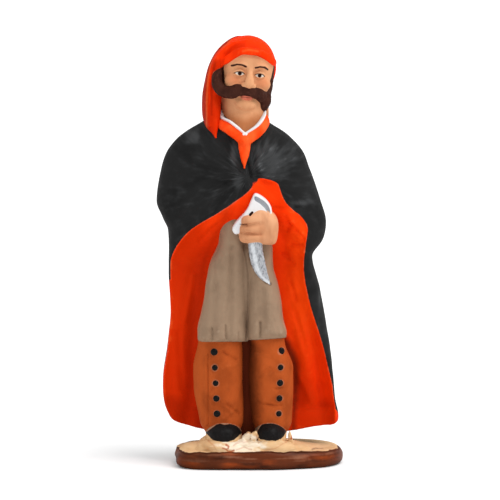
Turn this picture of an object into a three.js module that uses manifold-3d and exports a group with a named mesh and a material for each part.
// A painted clay santon: a man in a long cloak, standing on a low slab of ground.
// Slab and figure are pressed in one mould, so they are one solid.
// Millimetres, +Z up, front towards -Y. The origin is under the middle of the bounding box.
import * as THREE from "three";
import { mergeVertices } from "three/addons/utils/BufferGeometryUtils.js";
import Module from "manifold-3d";

const wasm = await Module();
wasm.setup();

// Driving dimensions
const FIGURE_HEIGHT = 86.5; // from the top of the slab's rim to the top of the cap
const SLAB_THICKNESS = 3.5;
const SLAB_WIDTH = 35;
const SLAB_DEPTH = 24.2;
const SLAB_CENTRE = [2, 0.1]; // the man stands left of the slab's middle
const SLAB_SQUARENESS = 2.25; // exponent of its plan: 2 is an ellipse
const SLAB_EDGE_ROUNDING = 1.6;
const MOUND_HEIGHT = 2.4; // the ground rises from the rim to the feet
const MOUND_MARGIN = [3.5, 1.4]; // from the slab's outline to the foot of the mound, across and along

// The figure is drawn for this height above the rim, and follows FIGURE_HEIGHT.
const DRAWN_HEIGHT = 86.5;

const CLOAK_CENTRE = [-1, 1.2];
const CLOAK_SQUARENESS = 2.35;
const LINING_RECESS = [1.4, 3.4]; // how far the lining lies behind the left and the right front edge
const LINING_TURN = 3.2; // the width over which it turns back from an edge
const BACK_OF_LEGS_Y = -5.2; // the lining fills in behind the legs

const LEGS_CENTRE_Y = -3.3;
const GAITER_HALF_DEPTH = 5.3;
const GAITER_SQUARENESS = 2.2;
const BUTTON_RADIUS = 0.55;
const BUTTONS_PER_GAITER = 5;
const BUTTON_HEIGHTS = [7.9, 20.9]; // of the lowest and the highest
const LEGS = [
  {
    side: -1,
    gaiterX: -6.3,
    gaiterHalfWidth: 5.2,
    shoeX: -5.4,
    shoeHalfWidth: 3.8,
    buttonsX: [-6.8, -7.4],
  },
  {
    side: 1,
    gaiterX: 4.6,
    gaiterHalfWidth: 4.4,
    shoeX: 4.6,
    shoeHalfWidth: 3.35,
    buttonsX: [6.1, 6.6],
  },
];

const HAND_FRONT_Y = -12.5;
const FINGER_RADIUS = 1.05;
const BLADE_Y = -10.9;

const HEAD_CENTRE = [-0.7, 0.1, 78.4];
const HEAD_HALF_WIDTH = 5.4;
const HEAD_HALF_DEPTH = 6.1;
const HEAD_HALF_HEIGHT = 6.5;
const HEAD_TILT = 7; // degrees, towards the figure's left shoulder
const HEAD_TURN = 7; // degrees, towards the figure's left
const CAP_THICKNESS = 0.9;
const BRIM_SLOPE = 20; // degrees that the cap's brim rises towards the brow
const BRIM_HEIGHT = 2.2; // above the head's centre, at the temples

const { degToRad, clamp, lerp, smoothstep } = THREE.MathUtils;

// A smooth function through [position, value] pairs, flat beyond its ends.
function through(...pairs) {
  const slopes = pairs.map((pair, i) => {
    const [before, after] = [pairs[i - 1], pairs[i + 1]];
    if (!before || !after || (pair[1] - before[1]) * (after[1] - pair[1]) <= 0) return 0;
    return (after[1] - before[1]) / (after[0] - before[0]);
  });
  return (position) => {
    const x = clamp(position, pairs[0][0], pairs.at(-1)[0]);
    const i = Math.max(pairs.findIndex((pair) => pair[0] >= x) - 1, 0);
    const [[x0, a], [x1, b]] = [pairs[i], pairs[i + 1]];
    const t = (x - x0) / (x1 - x0);
    const ends = a * (1 + 2 * t) * (1 - t) ** 2 + b * t * t * (3 - 2 * t);
    return ends + (x1 - x0) * (slopes[i] * t * (1 - t) ** 2 + slopes[i + 1] * t * t * (t - 1));
  };
}

// Even steps from one value to another, both included.
function steps(from, to, count) {
  return Array.from({ length: count + 1 }, (_, i) => lerp(from, to, i / count));
}

// A ring of points: place(s, c, bearing) gives each from the sine and cosine of its bearing, which
// is 0 at the front and 90 at the right.
function ring(count, place) {
  return Array.from({ length: count }, (_, i) => {
    const bearing = (i * 360) / count;
    const [s, c] = [Math.sin(degToRad(bearing)), Math.cos(degToRad(bearing))];
    return new THREE.Vector3(...place(s, c, bearing));
  });
}

// The radius of a rounded plan, with half axes across and along.
function reach(s, c, across, along, squareness) {
  return (Math.abs(s / across) ** squareness + Math.abs(c / along) ** squareness) ** (-1 / squareness);
}

// Height of soft ridges at a point of the front view. Each is a line from one point to another, with
// a width and a height; a negative height makes a groove.
function relief(ridges, x, z) {
  return ridges.reduce((sum, { from, to, width, height }) => {
    const [dx, dz] = [to[0] - from[0], to[1] - from[1]];
    const t = clamp(((x - from[0]) * dx + (z - from[1]) * dz) / (dx * dx + dz * dz), 0, 1);
    const distance = Math.hypot(x - from[0] - t * dx, z - from[1] - t * dz);
    return sum + height * Math.exp(-((distance / width) ** 2));
  }, 0);
}

// A closed solid from a three.js geometry: shared corners are merged, and faces without area are
// dropped.
function solid(geometry) {
  const bare = geometry.clone();
  bare.deleteAttribute("normal");
  bare.deleteAttribute("uv");
  const merged = mergeVertices(bare, 1e-4);
  const corners = merged.index.array;
  const triVerts = [];
  for (let i = 0; i < corners.length; i += 3) {
    const [a, b, c] = corners.slice(i, i + 3);
    if (a !== b && b !== c && c !== a) triVerts.push(a, b, c);
  }
  return new wasm.Manifold(
    new wasm.Mesh({
      numProp: 3,
      vertProperties: merged.attributes.position.array,
      triVerts: new Uint32Array(triVerts),
    }),
  );
}

// A solid skinned over rings of points, closed at both ends. The rings run anticlockwise seen from
// the last one.
function skin(rings) {
  const count = rings[0].length;
  const middle = (points) =>
    points.reduce((sum, p) => sum.add(p), new THREE.Vector3()).divideScalar(count);
  const points = [...rings.flat(), middle(rings[0]), middle(rings.at(-1))];
  const [first, last] = [points.length - 2, points.length - 1];
  const top = (rings.length - 1) * count;
  const faces = [];
  for (let j = 0; j < count; j++) {
    const k = (j + 1) % count;
    faces.push(first, k, j, last, top + j, top + k);
    for (let low = 0; low < top; low += count) {
      const high = low + count;
      faces.push(low + j, low + k, high + k, low + j, high + k, high + j);
    }
  }
  return solid(new THREE.BufferGeometry().setFromPoints(points).setIndex(faces));
}

// A strand along a smooth path, such as a finger, a lock of hair or a band of cloth. Its section is
// an ellipse, halfDepth towards out(t, point) and halfWidth across.
function strand({ path, halfWidth, halfDepth, out = () => [0, -1, 0], sides = 8, rings = 8 }) {
  const line = new THREE.CatmullRomCurve3(path.map((p) => new THREE.Vector3(...p)));
  return skin(
    steps(0, 1, rings).map((t) => {
      const centre = line.getPointAt(t);
      const tangent = line.getTangentAt(t);
      const outward = new THREE.Vector3(...out(t, centre)).projectOnPlane(tangent).normalize();
      const across = tangent.clone().cross(outward);
      const [deep, wide] = [halfDepth(t), halfWidth(t)];
      return ring(sides, (s, c) =>
        centre.clone().addScaledVector(outward, deep * c).addScaledVector(across, wide * s),
      );
    }),
  );
}

// A strand's size along its length: full in the middle, and rounded off over a share of it at both
// ends.
function rounded(size, endShare) {
  return (t) => {
    const inside = clamp(Math.min(t, 1 - t) / endShare, 0, 1);
    return size * Math.sqrt(Math.max(1 - (1 - inside) ** 2, 0.03));
  };
}

// An ellipsoid, turned by degrees about X.
function pebble([x, y, z], [rx, ry, rz], sides = 12, turn = 0) {
  const ball = new THREE.SphereGeometry(1, sides, Math.round(sides * 0.7)).rotateX(Math.PI / 2);
  return solid(ball.scale(rx, ry, rz).rotateX(degToRad(turn)).translate(x, y, z));
}

// A pad with soft edges: an outline in the front view, given depth from its front to its back.
function pad(outline, frontY, backY, softness) {
  const shape = new THREE.Shape(outline.map(([x, z]) => new THREE.Vector2(x, z)));
  const block = new THREE.ExtrudeGeometry(shape, {
    depth: backY - frontY - 2 * softness,
    bevelThickness: softness,
    bevelSize: softness,
    bevelOffset: -softness,
    bevelSegments: 3,
  });
  return solid(block.rotateX(Math.PI / 2).translate(0, backY - softness, 0));
}

function joined(parts) {
  return parts.reduce((sum, part) => sum.add(part));
}

// The slab of ground, with its underside at z = 0

function slab() {
  const [cx, cy] = SLAB_CENTRE;
  const outline = (inset, z) =>
    ring(40, (s, c, bearing) => {
      const radius = reach(s, c, SLAB_WIDTH / 2 - inset, SLAB_DEPTH / 2 - inset, SLAB_SQUARENESS);
      const waver = 0.3 * Math.sin(degToRad(bearing * 6 + 40)) * Math.sin(degToRad(bearing * 2)) ** 2;
      return [cx + (radius + waver) * s, cy - (radius + waver) * c, z];
    });
  const side = steps(-1, 1, 4).map((share) =>
    outline(SLAB_EDGE_ROUNDING * share ** 4, (SLAB_THICKNESS * (1 + share)) / 2),
  );
  return skin(side);
}

function mound() {
  const [cx, cy] = [SLAB_CENTRE[0] - 0.9, SLAB_CENTRE[1]];
  const [across, along] = [SLAB_WIDTH / 2 - MOUND_MARGIN[0], SLAB_DEPTH / 2 - MOUND_MARGIN[1]];
  const level = (share, rise) =>
    ring(28, (s, c, bearing) => {
      const lobes = 0.04 * Math.sin(degToRad(bearing * 3 + 50));
      const reached = share * (1 + lobes + 0.03 * Math.cos(degToRad(bearing * 7)));
      return [cx + reached * across * s, cy - reached * along * c, SLAB_THICKNESS + rise];
    });
  const dome = [1, 0.86, 0.7, 0.45].map((share) => level(share, MOUND_HEIGHT * (1 - share ** 2.2)));
  const top = SLAB_THICKNESS + MOUND_HEIGHT;
  const rocks = [
    pebble([0.2, -7.4, top - 0.6], [1.9, 2.2, 1.8], 7, 20),
    pebble([-3.4, -9, top - 1.4], [3, 2, 1], 7, 15),
    pebble([9, -5.6, top - 1.4], [2, 2.6, 1.4], 7, 12),
    pebble([-9.4, -5, top - 1.2], [2.6, 3, 1.2], 7, 10),
  ];
  return joined([skin([level(1, -SLAB_THICKNESS / 2), ...dome]), ...rocks]);
}

// The figure, drawn with its heights above the slab's rim

// How far the cloak reaches at each height: its left and right outline in the front view, and its
// depth to the front and the back of its centre
const cloakLeft = through(
  [2.8, -7], [3.9, -11.5], [5.2, -15.6], [7, -17.1], [10, -18], [14, -18.1], [21, -16.9], [29, -16.3],
  [37, -16.7], [45.5, -16.9], [48, -18.2], [51.5, -19.5], [57, -18.8], [61.5, -17.4], [64.5, -15.2],
  [66.5, -12.6], [68.5, -9.6], [70.5, -6.4], [71.5, -5.4],
);
const cloakRight = through(
  [2.8, 7], [3.7, 12], [4.6, 17.6], [6, 18.5], [10, 17.9], [18, 17], [26, 15.9], [33, 14.7],
  [40, 13.1], [43.5, 15.2], [47, 16], [52, 14.7], [58.4, 12.5], [62, 11.1], [65.5, 7.8], [68, 4.6],
  [70, 3], [71.5, 2.4],
);
const cloakFront = through(
  [2.8, 5], [5, 8.4], [8, 9.4], [24, 9.4], [36, 10.2], [46, 11.2], [52, 11.6], [58, 11], [62, 10],
  [66, 8.2], [69, 6.2], [71.5, 4.4],
);
const cloakBack = through(
  [2.8, 5.5], [4, 8.6], [5.5, 10.2], [8, 10.7], [24, 10.4], [40, 9.8], [54, 9.7], [61, 9.1],
  [65, 7.9], [68, 6.3], [71.5, 4.2],
);

// Where the cloak's front edges run in the front view, left and right of the opening
const leftEdge = through(
  [8, -17.8], [14, -18], [21, -16.8], [29, -16.2], [38.5, -16.5], [41.5, -15.8], [44.4, -14.1],
  [47.1, -11.5], [50.1, -7], [52, -3.8], [54, -2.1], [57.4, 0.4],
);
const rightEdge = through(
  [4, 17.6], [8.3, 17.9], [14.7, 17], [22.3, 15.1], [30.9, 12.5], [38.4, 11.3], [43.3, 11.7],
  [46.5, 12.1], [49.1, 10.9], [51.7, 8], [54.1, 6.7], [56.5, 5.8], [57.4, 2.2],
);

const cloakFolds = [
  { from: [-15.5, 51], to: [-3, 55.4], width: 4, height: 1.2 }, // the forearm under the cloth
  { from: [-3.6, 58.4], to: [-0.2, 57.2], width: 1.3, height: 0.8 }, // cloth gathered on the chest
  { from: [-3, 59.8], to: [-8.5, 65], width: 1.1, height: 0.5 },
  { from: [-5, 58.8], to: [-13.5, 61.5], width: 1.2, height: 0.45 },
  { from: [-5, 56.4], to: [-12, 56.4], width: 0.9, height: -0.35 },
  { from: [0.6, 62.5], to: [1.4, 57.8], width: 0.8, height: -0.6 }, // one panel laps over the other
  { from: [2.2, 59.6], to: [6.4, 64.6], width: 1, height: 0.6 },
  { from: [3.4, 57.8], to: [9.4, 61.6], width: 1, height: 0.5 },
  { from: [10.6, 61], to: [12.6, 53.4], width: 2.4, height: 0.6 },
  { from: [8.6, 51.4], to: [14.2, 52], width: 0.9, height: -0.8 }, // the crease above the elbow
  { from: [7.6, 55], to: [9.4, 59.4], width: 0.9, height: -0.4 },
  { from: [13.4, 38], to: [16, 20], width: 0.8, height: 0.5 },
];
const liningFolds = [
  { from: [8, 49], to: [10.4, 45.6], width: 1.9, height: 1.9 }, // the left forearm under the lining
  { from: [6.6, 46], to: [7.8, 41], width: 0.9, height: -0.5 },
  { from: [9, 41.5], to: [9.2, 34], width: 1.3, height: 0.9 },
  { from: [8.2, 34], to: [11, 8], width: 1, height: -0.8 },
  { from: [9.6, 33], to: [13.4, 10], width: 1.1, height: 0.9 },
  { from: [12, 28], to: [15.4, 9], width: 0.8, height: -0.5 },
  { from: [-13.9, 40], to: [-15, 8], width: 1.5, height: 0.7 },
  { from: [-11.8, 37], to: [-12.9, 6], width: 1, height: -0.6 },
  { from: [-9, 46.4], to: [-2.5, 52.2], width: 0.9, height: 0.4 },
];

// Folds that hang down the back: their bearing at the bottom and the top, and the heights they run
// between
const backFolds = [
  { bearings: [104, 114], heights: [12, 60], height: 0.8 },
  { bearings: [127, 136], heights: [2, 54], height: 1 },
  { bearings: [154, 160], heights: [2, 64], height: 1.1 },
  { bearings: [183, 180], heights: [2, 58], height: 0.9 },
  { bearings: [209, 203], heights: [2, 65], height: 1.1 },
  { bearings: [234, 226], heights: [2, 52], height: 1 },
  { bearings: [256, 246], heights: [10, 48], height: 0.7 },
];
const BACK_FOLD_WIDTH = 8.5; // degrees

function backFold(bearing, height) {
  return backFolds.reduce((sum, fold) => {
    const [low, high] = fold.heights;
    const middle = lerp(...fold.bearings, clamp((height - low) / (high - low), 0, 1));
    const strength = smoothstep(height, low - 2, low + 3) * (1 - smoothstep(height, high - 16, high));
    return sum + fold.height * strength * Math.exp(-(((bearing - middle) / BACK_FOLD_WIDTH) ** 2));
  }, 0);
}

// The cloak's front surface where it passes x
function cloakFrontY(x, height) {
  const [cx, cy] = CLOAK_CENTRE;
  const share = clamp((x - cx) / ((x < cx ? cloakLeft : cloakRight)(height) - cx), 0, 1);
  const depth = cloakFront(height) * (1 - share ** CLOAK_SQUARENESS) ** (1 / CLOAK_SQUARENESS);
  return cy - depth - relief(cloakFolds, x, height) * (1 - share ** 4);
}

function cloak() {
  const [cx, cy] = CLOAK_CENTRE;
  const hem = [2.8, 3.8, 5, 6.6, 9.5];
  const arms = [45, 47.5, 49.8, ...steps(52, 66, 7)];
  const levels = [...hem, ...steps(14, 42, 5), ...arms, 68.4, 71.5];
  return skin(
    levels.map((height) =>
      ring(48, (s, c, bearing) => {
        const across = (s < 0 ? cloakLeft : cloakRight)(height) - cx;
        const along = (c > 0 ? cloakFront : cloakBack)(height);
        const radius = reach(s, c, across, along, CLOAK_SQUARENESS) + backFold(bearing, height);
        const x = cx + radius * s;
        const fold = Math.max(c, 0) * relief(cloakFolds, x, height);
        return [x, cy - radius * c - fold, height];
      }),
    ),
  );
}

// The space before the lining, which is cut from the cloak's front
function opening() {
  const columns = 18;
  const bend = [41.5, 43.6, 45.8, 47.6, 49.4, 51.2, 53, 55, 57.4];
  const levels = [1, 4, 7, ...steps(11, 39, 6), ...bend];
  return skin(
    levels.map((height) => {
      const [left, right] = [leftEdge(height), rightEdge(height)];
      const recess = 1 - 0.6 * smoothstep(height, 42, 52);
      const lining = steps(0, 1, columns).map((share) => {
        const x = lerp(left, right, share);
        const edgeY = lerp(cloakFrontY(left, height), cloakFrontY(right, height), share);
        const inward = clamp(Math.min(x - left, right - x) / LINING_TURN, 0, 1);
        const depth = (1 - (1 - inward) ** 2) * lerp(...LINING_RECESS, share) * recess;
        const fold = relief(liningFolds, x, height) * smoothstep(inward, 0, 0.4);
        return new THREE.Vector3(x, edgeY + depth - fold, height);
      });
      const before = [left, right].map((x) => new THREE.Vector3(x, HAND_FRONT_Y - 20, height));
      return [...before, ...lining.reverse()];
    }),
  );
}

// Trousers, full at the knee, where they hang over the gaiters
const trouserOutline = [
  through(
    [21.9, -10], [22.6, -10.7], [24.5, -10.9], [28, -10.3], [31, -9.6], [35, -9.1], [39, -8.3],
    [44, -6.4],
  ),
  through(
    [21.9, 7.2], [23.2, 7.8], [27, 7.1], [31, 6.6], [34.5, 5.9], [38, 5], [42, 4.8], [46, 4.6],
  ),
];
const trouserFolds = [
  { from: [-7.4, 35], to: [-7.8, 24], width: 0.8, height: -0.55 },
  { from: [-3.6, 43], to: [-4.3, 24], width: 0.8, height: -0.6 },
  { from: [-9.4, 33], to: [-9.8, 25], width: 0.8, height: -0.3 },
  { from: [2.6, 34], to: [2.3, 24], width: 0.8, height: -0.55 },
  { from: [5.4, 34], to: [5.9, 25], width: 0.8, height: -0.35 },
];

function trouserLeg(leg) {
  const outline = trouserOutline[leg.side < 0 ? 0 : 1];
  const seam = -0.5 - 0.3 * leg.side; // the legs press on each other here
  const front = through([21.9, 4.9], [22.7, 5.8], [24, 6.2], [28, 5.8], [40, 5.3], [50, 4.6]);
  return skin(
    [21.9, 22.7, 24.5, 29, 34, 39, 43, 50].map((height) =>
      ring(18, (s, c) => {
        const [centre, half] = [(outline(height) + seam) / 2, Math.abs(outline(height) - seam) / 2];
        const radius = reach(s, c, half, front(height), 2.4);
        const x = centre + radius * s;
        const fold = Math.max(c, 0) * relief(trouserFolds, x, height);
        return [x, LEGS_CENTRE_Y - radius * c - fold, height];
      }),
    ),
  );
}

function trousers() {
  const lap = pebble([-0.5, LEGS_CENTRE_Y + 0.6, 38], [4, 4.6, 17], 8); // cloth between the legs
  return joined([...LEGS.map(trouserLeg), lap]);
}

// Gaiters, narrower at the ankle, each with a row of buttons on its outer side
const gaiterWidthShare = through(
  [1, 0.84], [6, 0.9], [13, 1], [17.5, 1], [20.5, 0.96], [22.5, 0.84], [24, 0.7],
);

function gaiter({ side, gaiterX, gaiterHalfWidth }) {
  const outwards = (distance) => gaiterX + distance * side;
  const creases = [
    { from: [outwards(-2), 21], to: [outwards(2.6), 17.5], width: 0.8, height: -0.35 },
    { from: [outwards(-2.5), 7.5], to: [outwards(1.5), 11], width: 0.7, height: -0.35 },
    { from: [outwards(3.4), 21], to: [outwards(3.1), 6], width: 0.45, height: -0.35 },
  ];
  return skin(
    [1.2, 5, 8.5, 12, 16, 20, 24].map((height) =>
      ring(20, (s, c) => {
        const share = gaiterWidthShare(height);
        const [across, along] = [gaiterHalfWidth * share, GAITER_HALF_DEPTH * share];
        const radius = reach(s, c, across, along, GAITER_SQUARENESS);
        const x = gaiterX + radius * s;
        const crease = Math.max(c, 0) * relief(creases, x, height);
        return [x, LEGS_CENTRE_Y - radius * c - crease, height];
      }),
    ),
  );
}

function buttons({ gaiterX, gaiterHalfWidth, buttonsX }) {
  return steps(0, 1, BUTTONS_PER_GAITER - 1).map((up) => {
    const [x, height] = [lerp(...buttonsX, up), lerp(...BUTTON_HEIGHTS, up)];
    const share = gaiterWidthShare(height);
    const sideways = Math.abs((x - gaiterX) / (gaiterHalfWidth * share)) ** GAITER_SQUARENESS;
    const y = LEGS_CENTRE_Y - GAITER_HALF_DEPTH * share * (1 - sideways) ** (1 / GAITER_SQUARENESS);
    return pebble([x, y, height], [BUTTON_RADIUS, 0.5, BUTTON_RADIUS], 6);
  });
}

function shoe({ shoeX, shoeHalfWidth }) {
  const upper = pebble([shoeX, -4.6, 3.2], [shoeHalfWidth, 5.9, 3.1], 12, -3);
  return upper.add(pebble([shoeX, -5.3, 2.4], [shoeHalfWidth * 0.97, 5.1, 1.5], 10));
}

// The lining behind and between the legs, down to the ground
function backOfLegs() {
  const [left, right] = LEGS.map(({ gaiterX }) => gaiterX);
  const [middle, half] = [(left + right) / 2, (right - left) / 2];
  return skin(
    [1, 3, 24, 36].map((height) =>
      ring(12, (s, c) => [middle + half * s, (BACK_OF_LEGS_Y + 1) * c - 1, height]),
    ),
  );
}

// The fist, with its fingers stacked towards the figure's right, the cuff behind it and the blade
// below it
function hand() {
  const fist = pad(
    [
      [2.2, 51.4], [0, 50.3], [-1.6, 49], [-2.3, 47.3], [-2.1, 45.3], [-0.8, 44.1], [2.6, 43.8],
      [5.2, 43.9], [5.9, 46], [5.8, 48.8], [4.5, 50.6],
    ],
    HAND_FRONT_Y + 0.5,
    -6,
    1.7,
  );
  const fingers = [45.3, 47.1, 48.9].map((height, i) =>
    strand({
      path: [
        [-1.9 + 0.2 * i * i, HAND_FRONT_Y + 2.4, height - 0.2],
        [-0.4, HAND_FRONT_Y + 1.1, height],
        [3.4, HAND_FRONT_Y + 1.3, height + 0.3],
      ],
      halfWidth: rounded(FINGER_RADIUS, 0.25),
      halfDepth: rounded(FINGER_RADIUS * 1.1, 0.35),
      rings: 5,
    }),
  );
  return joined([fist, ...fingers]);
}

function cuff() {
  return pad(
    [
      [1.2, 54.6], [2.7, 54], [4.1, 52.4], [4.8, 50.2], [3.5, 48], [0, 47], [-2.2, 46], [-3.4, 46.1],
      [-3.7, 47.3], [-2.7, 48.9], [-1, 51.2], [0.2, 53.8],
    ],
    -11.3,
    -2,
    0.5,
  );
}

function blade() {
  const path = [[1.1, 45], [1.3, 42.5], [1.8, 40], [2.7, 37.7], [4.3, 35.4]];
  return strand({
    path: path.map(([x, z]) => [x, BLADE_Y, z]),
    halfWidth: through([0, 1.45], [0.3, 1.5], [0.6, 1.35], [0.85, 0.75], [1, 0.12]),
    halfDepth: through([0, 1], [0.6, 0.9], [1, 0.12]),
  });
}

// Neck, collar and kerchief: the bands run round the neck and meet in a point on the chest
function band(front, left, back, right, halfWidth, halfDepth) {
  const [cx, cy, cz] = front;
  const lap = 0.5; // the ends cross
  return strand({
    path: [[cx + lap, cy, cz], ...left, back, ...right, [cx - lap, cy, cz]],
    halfWidth: () => halfWidth,
    halfDepth: () => halfDepth,
    out: (t, p) => [p.x - cx, p.y - 1, (p.z - cz) * 0.35 + 1.5],
    sides: 6,
    rings: 16,
  });
}

function neckcloth() {
  const kerchief = band(
    [-1, -8.6, 65],
    [[-4.3, -6.6, 67.7], [-6.4, -2.6, 70.3]],
    [-1.2, 4.4, 72],
    [[4, -2.8, 69.8], [1.9, -6.8, 67.3]],
    1.2,
    1,
  );
  const collar = band(
    [-1, -7.7, 67],
    [[-3.6, -6.1, 69.3], [-5.3, -2.6, 71.7]],
    [-1.2, 3.8, 73.2],
    [[3.2, -2.8, 71.2], [1.4, -6.2, 68.7]],
    0.7,
    0.8,
  );
  const tail = strand({
    path: [65.4, 62.6, 59.5].map((height) => [-1.1, cloakFrontY(-1.1, height), height]),
    halfWidth: through([0, 1.3], [0.5, 1], [1, 0.2]),
    halfDepth: through([0, 0.9], [1, 0.6]),
    sides: 6,
    rings: 4,
  });
  return joined([kerchief, collar, tail]);
}

function neck() {
  const front = through([62, 7.4], [66, 7.4], [69, 6.8], [72, 5.7], [75, 5]);
  const half = through([62, 3], [66, 4.2], [70, 5], [75, 4.8]);
  return skin(
    [62, 66, 68.5, 71, 75].map((height) =>
      ring(14, (s, c) => [-1 + half(height) * s, -0.2 - (c > 0 ? front(height) : 4.6) * c, height]),
    ),
  );
}

// Head, drawn upright about its own centre and then set on the neck, tilted and turned
const headHalfWidth = through(
  [-7.1, 1.9], [-6.2, 3], [-5, 4], [-3, 4.8], [-1, 5.2], [1, HEAD_HALF_WIDTH], [3, 5.3], [5, 4.5],
  [6.6, 2.8], [7.2, 0.9],
);
const headFront = through(
  [-7.1, 3.8], [-6.2, 5.5], [-5.5, 5.8], [-4.8, 5.5], [-3.8, 5.9], [-2.6, 5.8], [-1.2, 5.5],
  [0.4, 5.3], [1.6, 5.6], [2.5, 5.9], [4, 5.7], [5.6, 4.5], [6.6, 2.8], [7.2, 0.9],
);
const headBack = through(
  [-7.1, 1.5], [-5, 3.6], [-2.5, 5.4], [0.5, HEAD_HALF_DEPTH], [3, 6], [5, 4.9], [6.6, 2.8],
  [7.2, 0.9],
);
const faceForms = [-1, 1].flatMap((side) => [
  { from: [side * 1.7, 0.5], to: [side * 2.9, 0.5], width: 0.9, height: -0.5 }, // the hollow of the eye
  { from: [side * 1.9, 0.5], to: [side * 2.7, 0.5], width: 0.5, height: 0.45 }, // the eye in it
  { from: [side * 1.3, 1.9], to: [side * 3.5, 2], width: 0.6, height: 0.2 }, // the brow
  { from: [side * 3, -1.4], to: [side * 3.4, -1.2], width: 1.2, height: 0.3 }, // the cheek
]);

function head() {
  const skull = skin(
    [-7.1, -6.3, -5.2, -4, -2.8, -1.6, -0.4, 0.5, 1.2, 2, 3.4, 5, 6.4, 7.2].map((z) =>
      ring(20, (s, c) => {
        const radius = reach(s, c, headHalfWidth(z), (c > 0 ? headFront : headBack)(z), 2.15);
        return [radius * s, -radius * c - Math.max(c, 0) * relief(faceForms, radius * s, z), z];
      }),
    ),
  );
  const nose = strand({
    path: [[0, -4.9, 2.3], [0, -5.7, 0.2], [0, -6.7, -1.4], [0, -5.7, -2.5]],
    halfWidth: through([0, 0.6], [0.5, 0.8], [0.78, 1.2], [1, 0.8]),
    halfDepth: through([0, 0.7], [0.5, 1.2], [0.8, 1.2], [1, 0.6]),
    rings: 7,
  });
  const nostrils = [-1, 1].map((side) => pebble([side * 0.9, -5.8, -1.9], [0.7, 1.05, 0.6], 6));
  const lips = pebble([0, -5.6, -4.25], [1.5, 0.95, 0.6], 8);
  const whiskers = [-1, 1].map((side) =>
    strand({
      path: [
        [0, -6, -3.1],
        [side * 2.2, -5.4, -3.1],
        [side * 3.9, -3.7, -3.4],
        [side * 4.7, -2, -2.2],
        [side * 5, -1.4, 0.4],
        [side * 5, -1.2, 2.8],
      ],
      halfWidth: through([0, 0.7], [0.25, 1.1], [0.5, 1.3], [0.75, 1.1], [1, 0.9]),
      halfDepth: through([0, 0.75], [0.3, 0.85], [0.6, 0.75], [1, 0.5]),
      out: () => [side * 0.9, -1, 0],
    }),
  );
  // The whiskers reach lower on the figure's left
  const jawWhisker = pebble([3.8, -3.3, -4.9], [1.2, 1.5, 1.8], 8);
  return joined([skull, nose, ...nostrils, lips, ...whiskers, jawWhisker]);
}

// Cap: a soft dome pulled down to the nape
function cap() {
  const skull = [HEAD_HALF_WIDTH, HEAD_HALF_DEPTH, HEAD_HALF_HEIGHT];
  const dome = pebble([0, 0.2, 0.6], skull.map((half) => half + CAP_THICKNESS), 16);
  const half = 20;
  const box = () => new THREE.BoxGeometry(2 * half, 2 * half, 2 * half);
  const underBrim = solid(
    box().translate(0, 0, -half).rotateX(degToRad(-BRIM_SLOPE)).translate(0, 0, BRIM_HEIGHT),
  );
  const beforeNape = solid(box().translate(0, -half, 0).rotateX(degToRad(22)).translate(0, 0.8, 0));
  return dome.subtract(underBrim.intersect(beforeNape));
}

// The cap's long fall, over the figure's right temple to the shoulder, where it ends in a point
function fall() {
  const hang = strand({
    path: [
      [-2, 1.6, 85], [-4.8, 1, 83.4], [-6.8, 0.2, 80], [-7.5, -0.6, 76], [-7.7, -1.8, 72],
      [-7.7, -3.8, 68.6], [-7, -6.6, 65.3],
    ],
    halfWidth: through([0, 2], [0.2, 3.6], [0.55, 3.9], [0.8, 2.9], [0.93, 1.4], [1, 0.2]),
    halfDepth: through([0, 1.2], [0.3, 1.8], [0.7, 1.8], [0.85, 1.3], [1, 0.2]),
    out: () => [-1, -0.3, 0.1],
    sides: 12,
    rings: 12,
  });
  const pleat = strand({
    path: [
      [-2.6, -2, 84.6], [-5.8, -2.6, 82.2], [-7.6, -2.8, 79], [-8.2, -3.2, 74.5], [-8.1, -4.1, 70.5],
      [-7.5, -5.6, 67.4],
    ],
    halfWidth: through([0, 0.5], [0.4, 1.1], [1, 0.6]),
    halfDepth: through([0, 0.6], [0.4, 1], [1, 0.5]),
    out: () => [-0.8, -0.6, 0],
    sides: 6,
    rings: 9,
  });
  return hang.add(pleat);
}

function figure() {
  const headAndCap = joined([head(), cap()])
    .rotate([0, HEAD_TILT, 0])
    .rotate([0, 0, HEAD_TURN])
    .translate(HEAD_CENTRE);
  return joined([
    cloak().subtract(opening()),
    backOfLegs(),
    trousers(),
    ...LEGS.flatMap((leg) => [gaiter(leg), shoe(leg), ...buttons(leg)]),
    cuff(),
    hand(),
    blade(),
    neck(),
    neckcloth(),
    headAndCap,
    fall(),
  ])
    .scale(FIGURE_HEIGHT / DRAWN_HEIGHT)
    .translate([0, 0, SLAB_THICKNESS]);
}

// A three.js geometry from a solid
function geometryOf(body) {
  const { vertProperties, triVerts } = body.getMesh();
  const geometry = new THREE.BufferGeometry();
  geometry.setAttribute("position", new THREE.BufferAttribute(vertProperties, 3));
  geometry.setIndex(new THREE.BufferAttribute(triVerts, 1));
  geometry.computeVertexNormals();
  return geometry;
}

const clay = new THREE.MeshStandardMaterial({ color: 0x2b2a2b, roughness: 0.75, metalness: 0 });
const santon = new THREE.Mesh(geometryOf(joined([slab(), mound(), figure()])), clay);
santon.name = "santon_figure";

const group = new THREE.Group();
group.add(santon);
export default group;
